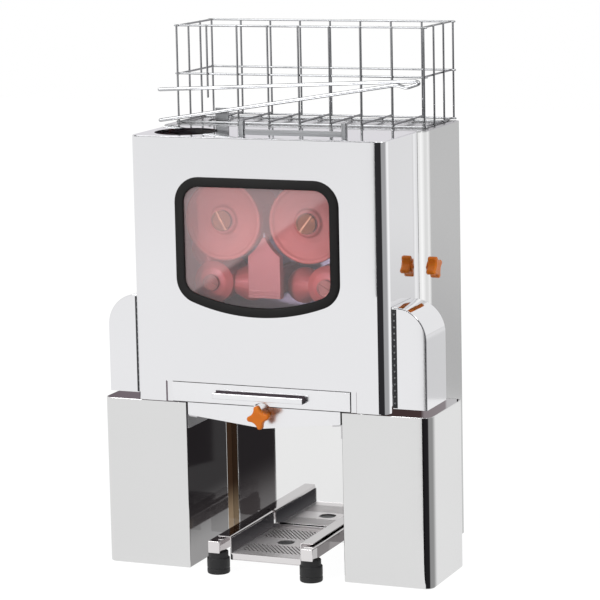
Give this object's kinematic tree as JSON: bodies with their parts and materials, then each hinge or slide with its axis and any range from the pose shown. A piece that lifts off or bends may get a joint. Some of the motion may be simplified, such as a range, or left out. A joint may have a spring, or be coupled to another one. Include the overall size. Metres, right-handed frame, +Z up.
{
  "type": "commercial orange juicer",
  "caption": "Counter-top machine that halves and presses whole oranges, with a wire fruit basket, a pull-off hood with a window, peel bins and a juice tank.",
  "frame": {"origin": "on the counter under the middle of the machine's box", "axes": "+X to the right seen from the front, +Y towards the back, +Z up"},
  "size_m": [0.504, 0.3128, 0.776],
  "materials": {
    "polished_stainless": "polished stainless sheet",
    "brushed_stainless": "brushed stainless sheet",
    "chromed_wire": "bright chromed wire",
    "cast_alloy": "sand-cast, satin",
    "gear_steel": "machined, oiled",
    "brass": "turned brass",
    "black_rubber": "moulded rubber",
    "clear_pane": "clear polycarbonate",
    "orange_plastic": "moulded, semi-gloss",
    "cup_plastic": "moulded, satin",
    "ball_plastic": "moulded, satin",
    "black_plastic": "moulded, fine grain",
    "green_plastic": "moulded, gloss",
    "red_plastic": "moulded, gloss"
  },
  "bodies": {
    "base": {"cabinet_shell": "polished_stainless", "front_plate": "brushed_stainless", "gear_plate": "cast_alloy", "base_wall": "polished_stainless", "rear_panel": "brushed_stainless", "power_inlet": "black_plastic", "switch_box": "black_plastic", "base_tube_left": "polished_stainless", "base_tube_right": "polished_stainless", "cross_tube": "polished_stainless", "front_foot_left": "black_rubber", "front_foot_right": "black_rubber", "rear_foot_left": "black_rubber", "rear_foot_right": "black_rubber", "gearmotor": "cast_alloy", "knife_holder": "cup_plastic", "knife": "polished_stainless", "drawer_rail_left": "polished_stainless", "drawer_rail_right": "polished_stainless", "tank_rail_left": "brushed_stainless", "tank_rail_right": "brushed_stainless", "peel_deflector_left": "cup_plastic", "peel_deflector_right": "cup_plastic", "fruit_stop": "brushed_stainless"},
    "basket": {"fruit_basket": "chromed_wire", "feed_guide": "chromed_wire"},
    "hood": {"hood_shell": "polished_stainless", "window_gasket": "black_rubber", "window_pane": "clear_pane", "peel_chute_left": "polished_stainless", "peel_chute_right": "polished_stainless", "fruit_rail": "brushed_stainless"},
    "left_hood_screw": {"hood_knob_left": "orange_plastic"},
    "right_hood_screw": {"hood_knob_right": "orange_plastic"},
    "drive": {"pinion": "gear_steel"},
    "idler": {"idler_gear": "gear_steel"},
    "left_cups": {"cup_shaft_left": "gear_steel", "cup_drum_left": "cup_plastic", "cup_nut_left": "brass"},
    "right_cups": {"cup_shaft_right": "gear_steel", "cup_drum_right": "cup_plastic", "cup_nut_right": "brass"},
    "left_balls": {"ball_shaft_left": "gear_steel", "ball_drum_left": "ball_plastic", "ball_nut_left": "brass"},
    "right_balls": {"ball_shaft_right": "gear_steel", "ball_drum_right": "ball_plastic", "ball_nut_right": "brass"},
    "drawer": {"filter_drawer": "polished_stainless", "filter_screen": "brushed_stainless"},
    "tank": {"juice_tank": "polished_stainless"},
    "tank_screw": {"tank_knob": "orange_plastic"},
    "left_bin": {"peel_bin_left": "polished_stainless"},
    "right_bin": {"peel_bin_right": "polished_stainless"},
    "pan": {"drip_pan": "polished_stainless"},
    "grille": {"drip_grille": "brushed_stainless"},
    "start": {"start_button": "green_plastic"},
    "stop": {"stop_button": "red_plastic"}
  },
  "joints": [
    {"name": "pinion_spin", "type": "hinge", "parent": "base", "child": "drive", "pos_m": [-0.02375, 0.0154, 0.56709], "axis": [0, -1, 0], "continuous": true},
    {"name": "idler_spin", "type": "hinge", "parent": "base", "child": "idler", "pos_m": [0.02375, 0.0154, 0.56709], "axis": [0, -1, 0], "continuous": true},
    {"name": "left_cup_spin", "type": "hinge", "parent": "base", "child": "left_cups", "pos_m": [-0.065, 0.0154, 0.509], "axis": [0, -1, 0], "continuous": true},
    {"name": "right_cup_spin", "type": "hinge", "parent": "base", "child": "right_cups", "pos_m": [0.065, 0.0154, 0.509], "axis": [0, -1, 0], "continuous": true},
    {"name": "left_ball_spin", "type": "hinge", "parent": "base", "child": "left_balls", "pos_m": [-0.088, 0.0154, 0.41683], "axis": [0, -1, 0], "continuous": true},
    {"name": "right_ball_spin", "type": "hinge", "parent": "base", "child": "right_balls", "pos_m": [0.088, 0.0154, 0.41683], "axis": [0, -1, 0], "continuous": true},
    {"name": "hood_slide", "type": "slide", "parent": "base", "child": "hood", "axis": [0, -1, 0], "range_m": [0, 0.16]},
    {"name": "left_hood_knob_turn", "type": "hinge", "parent": "base", "child": "left_hood_screw", "pos_m": [-0.2, 0.0004, 0.436], "axis": [-1, 0, 0], "continuous": true},
    {"name": "right_hood_knob_turn", "type": "hinge", "parent": "base", "child": "right_hood_screw", "pos_m": [0.2, 0.0004, 0.436], "axis": [1, 0, 0], "continuous": true},
    {"name": "basket_lift", "type": "slide", "parent": "base", "child": "basket", "axis": [0, 0, 1], "range_m": [0, 0.06]},
    {"name": "drawer_slide", "type": "slide", "parent": "base", "child": "drawer", "axis": [0, -1, 0], "range_m": [0, 0.11]},
    {"name": "tank_slide", "type": "slide", "parent": "base", "child": "tank", "axis": [0, -1, 0], "range_m": [0, 0.1]},
    {"name": "tank_knob_turn", "type": "hinge", "parent": "tank", "child": "tank_screw", "pos_m": [0.002, -0.13, 0.2351], "axis": [0, -1, 0], "continuous": true},
    {"name": "left_bin_slide", "type": "slide", "parent": "base", "child": "left_bin", "axis": [0, -1, 0], "range_m": [0, 0.14]},
    {"name": "right_bin_slide", "type": "slide", "parent": "base", "child": "right_bin", "axis": [0, -1, 0], "range_m": [0, 0.14]},
    {"name": "pan_slide", "type": "slide", "parent": "base", "child": "pan", "axis": [0, -1, 0], "range_m": [0, 0.12]},
    {"name": "grille_lift", "type": "slide", "parent": "pan", "child": "grille", "axis": [0, 0, 1], "range_m": [0, 0.03]},
    {"name": "start_push", "type": "slide", "parent": "base", "child": "start", "axis": [1, 0, 0], "range_m": [0, 0.003], "stiffness_N_per_m": 600},
    {"name": "stop_push", "type": "slide", "parent": "base", "child": "stop", "axis": [1, 0, 0], "range_m": [0, 0.003], "stiffness_N_per_m": 600}
  ],
  "couplings": [
    {"joint": "idler_spin", "follows": "pinion_spin", "ratio": -1},
    {"joint": "left_cup_spin", "follows": "pinion_spin", "ratio": -0.5},
    {"joint": "right_cup_spin", "follows": "pinion_spin", "ratio": 0.5},
    {"joint": "left_ball_spin", "follows": "pinion_spin", "ratio": 0.5},
    {"joint": "right_ball_spin", "follows": "pinion_spin", "ratio": -0.5}
  ]
}
